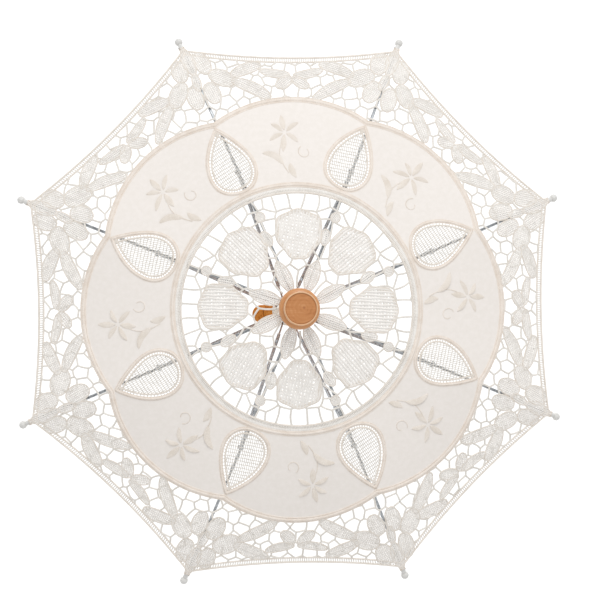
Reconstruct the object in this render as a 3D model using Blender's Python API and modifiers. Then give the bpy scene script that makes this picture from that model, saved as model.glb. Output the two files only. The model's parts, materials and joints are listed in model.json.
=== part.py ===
"""Lace parasol, open: turned wooden stick, eight folding ribs and stretchers, and an openwork canopy.

Metres, +Z up along the stick. The origin is the middle of the hand grip. Every rib is built once, for a rib
that points along +X from its pivot, and then placed eight times round the stick.
"""

import math

import bmesh
import bpy
from mathutils import Matrix, Vector

# Overall sizes.
CANOPY_WIDTH = 0.380  # across the open canopy, between opposite pairs of rib tips
RIB_COUNT = 8
NOTCH_HEIGHT = 0.290  # height of the rib pivots above the middle of the grip
CANOPY_DROP = 0.045  # how far the rib ends hang below their pivots when open
RIB_BOW = 0.009  # rise of a rib above the straight line between its ends
RUNNER_DROP = 0.080  # runner pivots below the rib pivots when open
JOINT_RADIUS = 0.1025  # where the stretchers meet the ribs, from the axis
CLOSED_SLOPE = math.radians(88.5)  # slope of a folded rib, end to end

# The stick.
SHAFT_RADIUS = 0.0045
BORE_RADIUS = 0.0048
GRIP_TOP = 0.045
GRIP_END = -0.045
GRIP_BORE_DEPTH = 0.030
FINIAL_BASE = 0.0044  # above the rib pivots
FINIAL_HEIGHT = 0.0140
FINIAL_RADIUS = 0.0140

# The notch and the runner, which share one crown of slots.
PIVOT_RADIUS = 0.0085
CROWN_RADIUS = 0.0110
CROWN_HALF_HEIGHT = 0.0020
GROOVE_FLOOR = 0.0072
GROOVE_HALF_WIDTH = 0.0008
SLOT_WIDTH = 0.0020
SLOT_FLOOR = 0.0064
TIE_WIRE_RADIUS = 0.00045
SLEEVE_RADIUS = 0.0062
RUNNER_LENGTH = 0.026  # below the runner pivots
HUB_LENGTH = 0.009  # below the rib pivots
WINDOW_TOP = -0.0090  # catch window, from the runner pivots
WINDOW_END = -0.0180
PIN_RADIUS = 0.0006
HOLE_RADIUS = 0.0009

# Ribs, stretchers and their joints.
RIB_WIRE_RADIUS = 0.0010
PLATE_THICKNESS = 0.0012
EYE_RADIUS = 0.0017
EYE_HOLE_RADIUS = 0.0008
TAB_LENGTH = 0.0065
LUG_DEPTH = 0.0032
CHEEK_THICKNESS = 0.0004
CHEEK_GAP = 0.0016
STRETCHER_HALF_DEPTH = 0.0012
TONGUE_SHORT = 0.00105  # the tongue stops this far before the runner pivot
RIVET_RADIUS = 0.0005
TIP_BALL_RADIUS = 0.0028

# The canopy.
CANOPY_THICKNESS = 0.0008
CANOPY_OVER_RIB = 0.0017  # underside of the cloth above the middle of a rib
CANOPY_OVER_NOTCH = 0.0033  # the same at the crown
CANOPY_HOLE = 0.0053
HEM_CORNER = 0.1945  # hem radius at a rib
HEM_MIDDLE = 0.1758  # hem radius half way between ribs
RIB_BAND = 0.05  # share of a half panel that lies level across its rib
PANEL_GAP = 0.00015  # each panel stops this far before the neighbour's plane
LINEN_INNER = 0.0860
LINEN_OUTER_RIB = 0.1370
LINEN_OUTER_MIDDLE = 0.1480

# Sizes that follow from those above.
SECTOR = 2 * math.pi / RIB_COUNT
HALF_SECTOR = SECTOR / 2
TIP_RADIUS = CANOPY_WIDTH / 2 / math.cos(HALF_SECTOR)
RIB_END_RADIUS = TIP_RADIUS - TIP_BALL_RADIUS
RIB_CHORD = math.hypot(RIB_END_RADIUS - PIVOT_RADIUS, CANOPY_DROP)
CHORD_SLOPE = math.atan2(CANOPY_DROP, RIB_END_RADIUS - PIVOT_RADIUS)
ARC_HALF_ANGLE = 2 * math.atan(2 * RIB_BOW / RIB_CHORD)
ARC_RADIUS = RIB_CHORD / (2 * math.sin(ARC_HALF_ANGLE))
START_SLOPE = CHORD_SLOPE - ARC_HALF_ANGLE
END_SLOPE = CHORD_SLOPE + ARC_HALF_ANGLE
ARC_X = PIVOT_RADIUS - ARC_RADIUS * math.sin(START_SLOPE)
ARC_Z = -ARC_RADIUS * math.cos(START_SLOPE)


def rib_height(radius):
    """Height of a rib's centre line over its pivot, at a radius from the stick's axis."""
    return ARC_Z + math.sqrt(ARC_RADIUS**2 - (radius - ARC_X) ** 2)


def rib_slope(radius):
    """Downward slope of a rib's centre line at a radius from the stick's axis."""
    return math.asin((radius - ARC_X) / ARC_RADIUS)


# Joint of rib and stretcher, in the rib's own plane: distance out from the rib pivot and height over it.
JOINT_SLOPE = rib_slope(JOINT_RADIUS)
JOINT_X = JOINT_RADIUS - PIVOT_RADIUS - LUG_DEPTH * math.sin(JOINT_SLOPE)
JOINT_Z = rib_height(JOINT_RADIUS) - LUG_DEPTH * math.cos(JOINT_SLOPE)
ARM = math.hypot(JOINT_X, JOINT_Z)
STRETCHER = math.hypot(JOINT_X, JOINT_Z + RUNNER_DROP)
STRETCHER_SLOPE = math.atan2(JOINT_Z + RUNNER_DROP, JOINT_X)
RIB_FOLD = CLOSED_SLOPE - CHORD_SLOPE
ARM_CLOSED = math.atan2(-JOINT_Z, JOINT_X) + RIB_FOLD
STRETCHER_CLOSED = math.acos(ARM * math.cos(ARM_CLOSED) / STRETCHER)
STRETCHER_FOLD = RIB_FOLD + STRETCHER_CLOSED - STRETCHER_SLOPE
RUNNER_TRAVEL = (
    ARM * math.sin(ARM_CLOSED) + STRETCHER * math.sin(STRETCHER_CLOSED) - RUNNER_DROP
)
RUNNER_HEIGHT = NOTCH_HEIGHT - RUNNER_DROP

for old in list(bpy.data.objects):
    bpy.data.objects.remove(old, do_unlink=True)

parts = bpy.data.collections.new("lace parasol")
cutters = bpy.data.collections.new("cutters")
bpy.context.scene.collection.children.link(parts)
bpy.context.scene.collection.children.link(cutters)


def material(name, colour, roughness, metallic=0.0):
    """A plain Principled material."""
    made = bpy.data.materials.new(name)
    made.use_nodes = True
    shader = made.node_tree.nodes["Principled BSDF"]
    shader.inputs["Base Color"].default_value = (*colour, 1.0)
    shader.inputs["Roughness"].default_value = roughness
    shader.inputs["Metallic"].default_value = metallic
    return made


turned_wood = material("turned_wood", (0.62, 0.33, 0.14), 0.40)
stick_wood = material("stick_wood", (0.58, 0.30, 0.12), 0.45)
frame_steel = material("frame_steel", (0.56, 0.57, 0.58), 0.32, 1.0)
spring_steel = material("spring_steel", (0.50, 0.51, 0.53), 0.28, 1.0)
moulded_white = material("moulded_white", (0.82, 0.80, 0.76), 0.45)
tip_enamel = material("tip_enamel", (0.78, 0.78, 0.77), 0.35)
cotton_lace = material("cotton_lace", (0.87, 0.84, 0.79), 0.85)
felt = material("felt", (0.80, 0.77, 0.72), 0.90)


def place(name, mesh, slot, location=(0, 0, 0), turn=0.0, parent=None):
    """One named part in the parts collection."""
    part = bpy.data.objects.new(name, mesh)
    if not mesh.materials:
        mesh.materials.append(slot)
    part.location = location
    part.rotation_euler = (0, 0, turn)
    part.parent = parent
    parts.objects.link(part)
    return part


def cutter(name, mesh, location=(0, 0, 0)):
    """A hidden solid that only cuts others."""
    tool = bpy.data.objects.new(name, mesh)
    tool.location = location
    tool.hide_render = True
    tool.display_type = "WIRE"
    cutters.objects.link(tool)
    return tool


def boolean(part, tool, operation="DIFFERENCE"):
    """Cut, or join, one part with a tool."""
    step = part.modifiers.new(f"{operation.lower()} {tool.name}", "BOOLEAN")
    step.operation = operation
    step.solver = "EXACT"
    step.object = tool
    return step


def turned_mesh(name, profile):
    """Edges of a profile, given as radius and height from the top down its outer side."""
    closed = profile[0][0] > 0 or profile[-1][0] > 0
    count = len(profile)
    edges = [(i, i + 1) for i in range(count - 1)]
    if closed:
        edges.append((count - 1, 0))
    mesh = bpy.data.meshes.new(name)
    mesh.from_pydata([(r, 0.0, z) for r, z in profile], edges, [])
    return mesh


def turn(part, steps):
    """Turn a profile once round the part's Z axis."""
    screw = part.modifiers.new("turn", "SCREW")
    screw.axis = "Z"
    screw.angle = 2 * math.pi
    screw.steps = steps
    screw.render_steps = steps
    screw.use_merge_vertices = True
    screw.merge_threshold = 0.00001
    screw.use_smooth_shade = True
    return screw


def baked(source):
    """Mesh data of an object with all its modifiers applied."""
    bpy.context.view_layer.update()
    graph = bpy.context.evaluated_depsgraph_get()
    mesh = bpy.data.meshes.new_from_object(source.evaluated_get(graph))
    shell = bmesh.new()
    shell.from_mesh(mesh)
    bmesh.ops.remove_doubles(shell, verts=shell.verts, dist=0.000001)
    bmesh.ops.recalc_face_normals(shell, faces=shell.faces)
    shell.to_mesh(mesh)
    shell.free()
    return mesh


def helper(name, data):
    """An object that lives only while a mesh is being made."""
    made = bpy.data.objects.new(name, data)
    bpy.context.scene.collection.objects.link(made)
    return made


def bake_and_drop(source, matrix=None):
    """Bake an object's mesh, move it by a matrix, and remove the object."""
    mesh = baked(source)
    if matrix is not None:
        mesh.transform(matrix)
    bpy.data.objects.remove(source, do_unlink=True)
    return mesh


def plate(name, outlines, thickness):
    """A flat plate in the XZ plane; the first outline is its edge and the others are its holes."""
    curve = bpy.data.curves.new(name, "CURVE")
    curve.dimensions = "2D"
    curve.fill_mode = "BOTH"
    curve.extrude = thickness / 2
    for outline in outlines:
        spline = curve.splines.new("POLY")
        spline.points.add(len(outline) - 1)
        for point, (x, z) in zip(spline.points, outline):
            point.co = (x, z, 0.0, 1.0)
        spline.use_cyclic_u = True
    return bake_and_drop(helper(name, curve), Matrix.Rotation(math.pi / 2, 4, "X"))


def wire(name, points, radius, cyclic=False):
    """A round wire along points."""
    curve = bpy.data.curves.new(name, "CURVE")
    curve.dimensions = "3D"
    curve.bevel_depth = radius
    curve.bevel_resolution = 1
    curve.use_fill_caps = True
    spline = curve.splines.new("POLY")
    spline.points.add(len(points) - 1)
    for point, place_at in zip(spline.points, points):
        point.co = (*place_at, 1.0)
    spline.use_cyclic_u = cyclic
    return bake_and_drop(helper(name, curve))


def joined(name, meshes, cuts=()):
    """One solid out of overlapping solids, less the cuts."""
    base = helper(name, meshes[0])
    tools = [helper(f"{name} piece", mesh) for mesh in meshes[1:]]
    for tool in tools:
        boolean(base, tool, "UNION")
    removed = [helper(f"{name} cut", mesh) for mesh in cuts]
    for tool in removed:
        boolean(base, tool)
    mesh = bake_and_drop(base)
    for tool in tools + removed:
        bpy.data.objects.remove(tool, do_unlink=True)
    return mesh


def box(name, low, high):
    """A box between two corners."""
    low, high = Vector(low), Vector(high)
    shell = bmesh.new()
    size = Matrix.Diagonal((*(high - low), 1.0))
    bmesh.ops.create_cube(shell, size=1.0, matrix=Matrix.Translation((low + high) / 2) @ size)
    mesh = bpy.data.meshes.new(name)
    shell.to_mesh(mesh)
    shell.free()
    return mesh


def rod(name, radius, start, end, sides=24):
    """A round rod between two points."""
    start, end = Vector(start), Vector(end)
    along = end - start
    lay = along.to_track_quat("Z", "Y").to_matrix().to_4x4()
    shell = bmesh.new()
    bmesh.ops.create_cone(
        shell,
        cap_ends=True,
        segments=sides,
        radius1=radius,
        radius2=radius,
        depth=along.length,
        matrix=Matrix.Translation((start + end) / 2) @ lay,
    )
    mesh = bpy.data.meshes.new(name)
    shell.to_mesh(mesh)
    shell.free()
    return mesh


def circle(x, z, radius, count=10, start=0.0):
    """Points round a circle in a plate's plane."""
    step = 2 * math.pi / count
    return [
        (x + radius * math.cos(start + i * step), z + radius * math.sin(start + i * step))
        for i in range(count)
    ]


def bar_outline(start, end, start_radius, end_half):
    """Outline of a flat bar with a round start and a square end."""
    start, end = Vector(start), Vector(end)
    along = (end - start).normalized()
    side = Vector((-along.y, along.x))
    angle = math.atan2(side.y, side.x)
    round_part = [
        start + start_radius * Vector((math.cos(angle + t), math.sin(angle + t)))
        for t in [math.pi * i / 6 for i in range(7)]
    ]
    points = round_part + [end - side * end_half, end + side * end_half]
    return [(p.x, p.y) for p in points]


def slots(name):
    """Eight radial slots, one at each rib."""
    shell = bmesh.new()
    length = 0.010
    size = Matrix.Diagonal((length, SLOT_WIDTH, 2.6 * CROWN_HALF_HEIGHT, 1.0))
    for index in range(RIB_COUNT):
        spin = Matrix.Rotation(HALF_SECTOR + index * SECTOR, 4, "Z")
        out = Matrix.Translation((SLOT_FLOOR + length / 2, 0, 0))
        bmesh.ops.create_cube(shell, size=1.0, matrix=spin @ out @ size)
    mesh = bpy.data.meshes.new(name)
    shell.to_mesh(mesh)
    shell.free()
    return mesh


def crown_profile(tail_length):
    """Bored crown with a groove round its rim for the tie wire, and a sleeve below it."""
    top, rim, groove = CROWN_HALF_HEIGHT, CROWN_RADIUS, GROOVE_HALF_WIDTH
    ease = 0.0004
    return [
        (BORE_RADIUS, top),
        (rim - ease, top),
        (rim, top - ease),
        (rim, groove),
        (GROOVE_FLOOR, groove),
        (GROOVE_FLOOR, -groove),
        (rim, -groove),
        (rim, -top + ease),
        (rim - ease, -top),
        (SLEEVE_RADIUS + ease, -top),
        (SLEEVE_RADIUS, -top - ease),
        (SLEEVE_RADIUS, -tail_length + ease),
        (SLEEVE_RADIUS - ease, -tail_length),
        (BORE_RADIUS, -tail_length),
    ]


# The stick: shaft, grip and finial.
finial_floor = NOTCH_HEIGHT + FINIAL_BASE
finial_bore = 0.0094
shaft_top = finial_floor + finial_bore - 0.0004
shaft_end = GRIP_TOP - GRIP_BORE_DEPTH + 0.0004
shaft = place("shaft", rod("shaft", SHAFT_RADIUS, (0, 0, shaft_end), (0, 0, shaft_top), 32), stick_wood)

f = FINIAL_RADIUS
finial_top = finial_floor + FINIAL_HEIGHT
finial_profile = [
    (0.0, finial_top - 0.0005),
    (0.60 * f, finial_top - 0.0005),
    (0.635 * f, finial_top - 0.0011),
    (0.67 * f, finial_top - 0.0004),
    (0.72 * f, finial_top),
    (0.78 * f, finial_top - 0.0004),
    (0.82 * f, finial_top - 0.0016),
    (0.82 * f, finial_top - 0.0030),
    (0.79 * f, finial_top - 0.0044),
    (0.77 * f, finial_top - 0.0058),
    (0.82 * f, finial_top - 0.0072),
    (0.93 * f, finial_top - 0.0082),
    (0.985 * f, finial_top - 0.0096),
    (1.00 * f, finial_top - 0.0112),
    (0.985 * f, finial_top - 0.0128),
    (0.94 * f, finial_floor),
    (BORE_RADIUS, finial_floor),
    (BORE_RADIUS, finial_floor + finial_bore),
    (0.0, finial_floor + finial_bore),
]
finial = place("finial", turned_mesh("finial", finial_profile), turned_wood)
turn(finial, 36)

handle_profile = [
    (0.0, GRIP_TOP - GRIP_BORE_DEPTH),
    (BORE_RADIUS, GRIP_TOP - GRIP_BORE_DEPTH),
    (BORE_RADIUS, GRIP_TOP),
    (0.0060, GRIP_TOP),
    (0.0065, GRIP_TOP - 0.0006),
    (0.0065, GRIP_TOP - 0.0030),
    (0.0060, GRIP_TOP - 0.0036),
    (0.0060, GRIP_TOP - 0.0050),
    (0.0064, GRIP_TOP - 0.0070),
    (0.0069, GRIP_TOP - 0.0160),
    (0.0072, GRIP_TOP - 0.0300),
    (0.0071, GRIP_TOP - 0.0450),
    (0.0067, GRIP_END + 0.0300),
    (0.0062, GRIP_END + 0.0190),
    (0.0062, GRIP_END + 0.0160),
    (0.0070, GRIP_END + 0.0130),
    (0.0076, GRIP_END + 0.0090),
    (0.0074, GRIP_END + 0.0050),
    (0.0063, GRIP_END + 0.0016),
    (0.0045, GRIP_END),
    (0.0, GRIP_END),
]
handle = place("handle", turned_mesh("handle", handle_profile), turned_wood)
turn(handle, 28)

# The notch that the ribs hang in, its tie wire, its pin, and the washer over it.
notch_mesh = turned_mesh("top_notch", crown_profile(HUB_LENGTH))
top_notch = place("top_notch", notch_mesh, moulded_white, (0, 0, NOTCH_HEIGHT))
turn(top_notch, 32)
boolean(top_notch, cutter("notch slots", slots("notch slots"), (0, 0, NOTCH_HEIGHT)))

ring_points = [
    (PIVOT_RADIUS * math.cos(2 * math.pi * i / 32), PIVOT_RADIUS * math.sin(2 * math.pi * i / 32), 0.0)
    for i in range(32)
]
tie_wire = wire("tie_wire", ring_points, TIE_WIRE_RADIUS, cyclic=True)
place("notch_wire", tie_wire, frame_steel, (0, 0, NOTCH_HEIGHT))

pin_height = NOTCH_HEIGHT - 0.0058
pin_mesh = rod("notch_pin", PIN_RADIUS, (0, -SLEEVE_RADIUS, pin_height), (0, SLEEVE_RADIUS, pin_height), 12)
place("notch_pin", pin_mesh, frame_steel)
hole_mesh = rod("hole", HOLE_RADIUS, (0, -0.012, pin_height), (0, 0.012, pin_height), 12)
notch_hole = cutter("notch pin hole", hole_mesh)
boolean(top_notch, notch_hole)
boolean(shaft, notch_hole)

washer_profile = [
    (BORE_RADIUS, 0.0029),
    (0.0095, 0.0029),
    (0.0095, 0.0023),
    (BORE_RADIUS, 0.0023),
]
washer = place("crown_washer", turned_mesh("crown_washer", washer_profile), felt, (0, 0, NOTCH_HEIGHT))
turn(washer, 24)

# The runner with its tie wire, and the pin that stops it at the top of its travel.
runner_mesh = turned_mesh("runner", crown_profile(RUNNER_LENGTH))
runner = place("runner", runner_mesh, moulded_white, (0, 0, RUNNER_HEIGHT))
turn(runner, 32)
boolean(runner, cutter("runner slots", slots("runner slots"), (0, 0, RUNNER_HEIGHT)))
window = box("window", (0.003, -0.0013, WINDOW_END), (0.009, 0.0013, WINDOW_TOP))
boolean(runner, cutter("catch window", window, (0, 0, RUNNER_HEIGHT)))
place("runner_wire", tie_wire, frame_steel, (0, 0, RUNNER_HEIGHT), parent=None)

stop_height = RUNNER_HEIGHT + CROWN_HALF_HEIGHT + 0.0004 + PIN_RADIUS
stop_reach = SHAFT_RADIUS + 0.0018
pin_mesh = rod("stop_pin", PIN_RADIUS, (0, -stop_reach, stop_height), (0, stop_reach, stop_height), 12)
place("stop_pin", pin_mesh, frame_steel)
hole_mesh = rod("hole", HOLE_RADIUS, (0, -0.012, stop_height), (0, 0.012, stop_height), 12)
boolean(shaft, cutter("stop pin hole", hole_mesh))

# Two spring catches in slots of the shaft: one holds the runner open, the mirrored one holds it folded.
CATCH_PIVOT_X = 0.0025
CATCH_PIVOT_Z = -0.0310  # from the runner pivots
catch_outline = [
    (0.0016, -0.0096),
    (0.0074, -0.0096),
    (0.0077, -0.0099),
    (0.0077, -0.0112),
    (0.0043, -0.0172),
    (0.0036, -0.0190),
    (0.0034, -0.0308),
    (0.0030, -0.0318),
    (0.0020, -0.0318),
    (0.0016, -0.0308),
]
upper_outline = [(x - CATCH_PIVOT_X, z - CATCH_PIVOT_Z) for x, z in catch_outline]
lower_outline = [(x, -z) for x, z in reversed(upper_outline)]
window_middle = (WINDOW_TOP + WINDOW_END) / 2
upper_pivot = (CATCH_PIVOT_X, 0, RUNNER_HEIGHT + CATCH_PIVOT_Z)
lower_pivot = (CATCH_PIVOT_X, 0, RUNNER_HEIGHT - RUNNER_TRAVEL + 2 * window_middle - CATCH_PIVOT_Z)
place("upper_catch", plate("upper_catch", [upper_outline], PLATE_THICKNESS), spring_steel, upper_pivot)
place("lower_catch", plate("lower_catch", [lower_outline], PLATE_THICKNESS), spring_steel, lower_pivot)
slot_half = PLATE_THICKNESS / 2 + 0.0003
for name, pivot, low, high in (
    ("upper catch slot", upper_pivot, -0.0012, 0.0225),
    ("lower catch slot", lower_pivot, -0.0225, 0.0012),
):
    pocket = box(name, (-0.0026 - CATCH_PIVOT_X, -slot_half, low), (0.006, slot_half, high))
    boolean(shaft, cutter(name, pocket, pivot))

# One rib: a bowed wire with a flat eye at the notch and a lug for the stretcher.
rib_points = []
WIRE_START = PIVOT_RADIUS + 0.0050
WIRE_END = RIB_END_RADIUS - 0.0030
for i in range(13):
    radius = WIRE_START + (WIRE_END - WIRE_START) * i / 12
    rib_points.append((radius - PIVOT_RADIUS, 0.0, rib_height(radius)))
tab_end = (TAB_LENGTH, rib_height(PIVOT_RADIUS + TAB_LENGTH))
eye = plate(
    "rib eye",
    [bar_outline((0, 0), tab_end, EYE_RADIUS, 0.0009), circle(0, 0, EYE_HOLE_RADIUS)],
    PLATE_THICKNESS,
)
lug_root = (JOINT_RADIUS - PIVOT_RADIUS, rib_height(JOINT_RADIUS) + 0.0003)
lug = plate(
    "rib lug",
    [
        bar_outline((JOINT_X, JOINT_Z), lug_root, EYE_RADIUS, 0.0019),
        circle(JOINT_X, JOINT_Z, EYE_HOLE_RADIUS),
    ],
    PLATE_THICKNESS,
)
rib_mesh = joined("rib", [wire("rib wire", rib_points, RIB_WIRE_RADIUS), eye, lug])

# One rib tip: a ball on a sleeve, along the rib's own slope.
tip_profile = [(0.0, TIP_BALL_RADIUS)]
for i in range(1, 6):
    angle = math.pi * i / 7
    tip_profile.append((TIP_BALL_RADIUS * math.sin(angle), TIP_BALL_RADIUS * math.cos(angle)))
tip_profile += [
    (0.0014, -0.0022),
    (0.0017, -0.0028),
    (0.0017, -0.0078),
    (0.0013, -0.0078),
    (0.0013, -0.0025),
    (0.0, -0.0025),
]
tip = helper("rib tip", turned_mesh("rib tip", tip_profile))
turn(tip, 10)
tip_place = Matrix.Translation((RIB_END_RADIUS - PIVOT_RADIUS, 0, -CANOPY_DROP))
tip_mesh = bake_and_drop(tip, tip_place @ Matrix.Rotation(math.pi / 2 + END_SLOPE, 4, "Y"))

# One rivet, across the joint of rib and stretcher.
head_in = CHEEK_GAP / 2 + CHEEK_THICKNESS + 0.0003
rivet_profile = [
    (0.0, head_in + 0.0006),
    (0.0010, head_in + 0.0006),
    (0.0014, head_in + 0.0003),
    (0.0014, head_in),
    (RIVET_RADIUS, head_in),
    (RIVET_RADIUS, -head_in),
    (0.0014, -head_in),
    (0.0014, -head_in - 0.0003),
    (0.0010, -head_in - 0.0006),
    (0.0, -head_in - 0.0006),
]
rivet = helper("joint rivet", turned_mesh("joint rivet", rivet_profile))
turn(rivet, 10)
rivet_place = Matrix.Translation((JOINT_X, 0, JOINT_Z)) @ Matrix.Rotation(math.pi / 2, 4, "X")
rivet_mesh = bake_and_drop(rivet, rivet_place)

# One stretcher: a channel forked round the rib's lug, with a tongue that enters the runner's slot.
CHANNEL_END = STRETCHER - 0.0122
depth = STRETCHER_HALF_DEPTH
cheek_outline = bar_outline((0, 0), (CHANNEL_END, 0), 0.0015, depth)
cheek = plate("cheek", [cheek_outline, circle(0, 0, EYE_HOLE_RADIUS)], CHEEK_THICKNESS)
cheek_shift = (CHEEK_GAP + CHEEK_THICKNESS) / 2
left_cheek = cheek.copy()
left_cheek.transform(Matrix.Translation((0, cheek_shift, 0)))
cheek.transform(Matrix.Translation((0, -cheek_shift, 0)))
half_width = CHEEK_GAP / 2 + CHEEK_THICKNESS / 2
web = box("web", (0.0040, -half_width, -depth - 0.0001), (CHANNEL_END - 0.0002, half_width, -depth + 0.0005))
tongue_end = STRETCHER - TONGUE_SHORT
tongue = plate(
    "tongue",
    [
        [
            (STRETCHER - 0.0200, -depth + 0.0001),
            (tongue_end - 0.0042, -depth + 0.0001),
            (tongue_end, -0.0006),
            (tongue_end, 0.0006),
            (tongue_end - 0.0042, depth - 0.0001),
            (STRETCHER - 0.0180, depth - 0.0001),
        ]
    ],
    PLATE_THICKNESS,
)
stretcher_mesh = joined("stretcher", [web, cheek, left_cheek, tongue])
stretcher_mesh.transform(Matrix.Rotation(math.pi, 4, "Z"))
stretcher_mesh.transform(Matrix.Rotation(-STRETCHER_SLOPE, 4, "Y"))


def eased(value):
    """A smooth step from 0 to 1."""
    value = min(max(value, 0.0), 1.0)
    return value * value * (3 - 2 * value)


def canopy_underside(radius, angle):
    """Height of the cloth's underside over the rib pivots; straight lines run from rib to rib."""
    off_rib = max(abs(angle) - RIB_BAND * HALF_SECTOR, 0.0)
    level = radius * math.cos(HALF_SECTOR - off_rib) / math.cos(HALF_SECTOR)
    lift = (CANOPY_OVER_NOTCH - CANOPY_OVER_RIB) * (1 - eased((level - 0.012) / 0.012))
    return rib_height(level) + CANOPY_OVER_RIB + lift


def hem_radius(angle):
    """Radius of the hem, which curves inwards between two ribs."""
    off_middle = HALF_SECTOR - abs(angle)
    corner_x = HEM_CORNER * math.cos(HALF_SECTOR)
    corner_y = HEM_CORNER * math.sin(HALF_SECTOR)
    radius = HEM_MIDDLE
    for _ in range(8):
        share = radius * math.sin(off_middle) / corner_y
        radius = (HEM_MIDDLE + (corner_x - HEM_MIDDLE) * share**2) / math.cos(off_middle)
    return radius


def linen_radius(angle):
    """Radius of the plain cloth's scalloped outer edge."""
    share = math.sin(math.pi / 2 * abs(angle) / HALF_SECTOR)
    return LINEN_OUTER_RIB + (LINEN_OUTER_MIDDLE - LINEN_OUTER_RIB) * share


# Columns of the panel run across it from one neighbour to the other; rows run from the crown to the hem.
COLUMNS = [-1, -0.95, -0.57, -0.50, -0.045, 0.045, 0.50, 0.57, 0.95, 1]
OPEN_COLUMNS = (1, 3, 5, 7)
WINDOW_COLUMNS = (3, 5)
MEDALLION_ROWS = [0.0, 0.13, 0.32, 0.345, 0.58, 0.61, 0.89, 0.93]
MEDALLION_OPEN = (1, 3, 5)
WINDOW_ROWS = [(0.08, 0.24), (0.30, 0.41), (0.62, 0.34), (0.93, 0.09), (1.0, 0.30)]
BORDER_ROWS = [0.10, 0.46, 0.53, 0.91, 1.0]
BORDER_OPEN = (0, 2)


def panel_rows():
    """Each row: a radius function, the half width of its rib window, and whether the row above is open."""
    rows = []
    for i, share in enumerate(MEDALLION_ROWS):
        radius = CANOPY_HOLE + (LINEN_INNER - CANOPY_HOLE) * share
        rows.append((lambda angle, r=radius: r, 0.50, "net" if i in MEDALLION_OPEN else ""))
    for i, (share, half) in enumerate(WINDOW_ROWS):
        kind = "window" if i < len(WINDOW_ROWS) - 2 else ""
        rows.append(
            (lambda angle, s=share: LINEN_INNER + (linen_radius(angle) - LINEN_INNER) * s, half, kind)
        )
    for i, share in enumerate(BORDER_ROWS):
        kind = "net" if i in BORDER_OPEN else ""
        rows.append(
            (
                lambda angle, s=share: linen_radius(angle) * (1 - s) + hem_radius(angle) * s,
                0.50,
                kind,
            )
        )
    return rows


def canopy_panel():
    """One gore of the canopy, half a gap to each side of its rib, with its openwork cut out."""
    rows = panel_rows()
    shell = bmesh.new()
    bmesh.ops.create_grid(shell, x_segments=len(COLUMNS) - 1, y_segments=len(rows) - 1, size=1.0)
    gone = []
    for face in shell.faces:
        middle = face.calc_center_median()
        column = int((middle.x + 1) / 2 * (len(COLUMNS) - 1))
        row = int((middle.y + 1) / 2 * (len(rows) - 1))
        kind = rows[row][2]
        if (kind == "net" and column in OPEN_COLUMNS) or (kind == "window" and column in WINDOW_COLUMNS):
            gone.append(face)
    for vert in shell.verts:
        column = round((vert.co.x + 1) / 2 * (len(COLUMNS) - 1))
        radius_at, half, _ = rows[round((vert.co.y + 1) / 2 * (len(rows) - 1))]
        share = COLUMNS[column]
        if abs(share) == 0.50:
            share = math.copysign(half, share)
        widest = HALF_SECTOR - math.asin(PANEL_GAP / radius_at(HALF_SECTOR))
        angle = share * widest
        radius = radius_at(angle)
        vert.co = (
            radius * math.cos(angle) - PIVOT_RADIUS,
            radius * math.sin(angle),
            canopy_underside(radius, angle),
        )
    bmesh.ops.delete(shell, geom=gone, context="FACES")
    bmesh.ops.recalc_face_normals(shell, faces=shell.faces)
    if sum(face.normal.z for face in shell.faces) < 0:
        bmesh.ops.reverse_faces(shell, faces=shell.faces)
    mesh = bpy.data.meshes.new("canopy panel")
    shell.to_mesh(mesh)
    shell.free()
    base = helper("canopy panel", mesh)
    thicken = base.modifiers.new("thicken", "SOLIDIFY")
    thicken.thickness = CANOPY_THICKNESS
    thicken.offset = 1.0
    thicken.use_even_offset = False
    return bake_and_drop(base)


panel_mesh = canopy_panel()

# Eight of each, placed round the stick. Each rib turns about its own origin, and so does each stretcher.
for index in range(RIB_COUNT):
    number = index + 1
    azimuth = HALF_SECTOR + index * SECTOR
    pivot = (PIVOT_RADIUS * math.cos(azimuth), PIVOT_RADIUS * math.sin(azimuth), NOTCH_HEIGHT)
    rib = place(f"rib_{number}", rib_mesh, frame_steel, pivot, azimuth)
    place(f"rib_tip_{number}", tip_mesh, tip_enamel, parent=rib)
    place(f"joint_rivet_{number}", rivet_mesh, frame_steel, parent=rib)
    place(f"canopy_panel_{number}", panel_mesh, cotton_lace, parent=rib)
    place(f"stretcher_{number}", stretcher_mesh, frame_steel, (JOINT_X, 0, JOINT_Z), parent=rib)

for part in parts.objects:
    for face in part.data.polygons:
        face.use_smooth = False

print(f"runner travel {RUNNER_TRAVEL:.6f} m")
print(f"rib fold {RIB_FOLD:.6f} rad, stretcher fold {STRETCHER_FOLD:.6f} rad")
print(f"joint x {JOINT_X:.6f}, joint z {JOINT_Z:.6f}")
print(f"tip radius {TIP_RADIUS:.6f}, finial top {finial_top:.6f}")
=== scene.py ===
# %% [markdown]
# # A lace parasol, seen from above
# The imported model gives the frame: stick, ribs, stretchers, runner and eight plain canopy panels.
# This lesson puts cloth and lace in place of those panels, turns smooth wood for the finial and the
# grip, and paints the rest. All lengths are in metres, +Z runs up the stick, and the ribs point 22.5
# degrees off the X and Y axes.

import json
import math

import bpy
import numpy as np
from mathutils import Matrix, Vector
from mathutils.geometry import delaunay_2d_cdt


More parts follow.
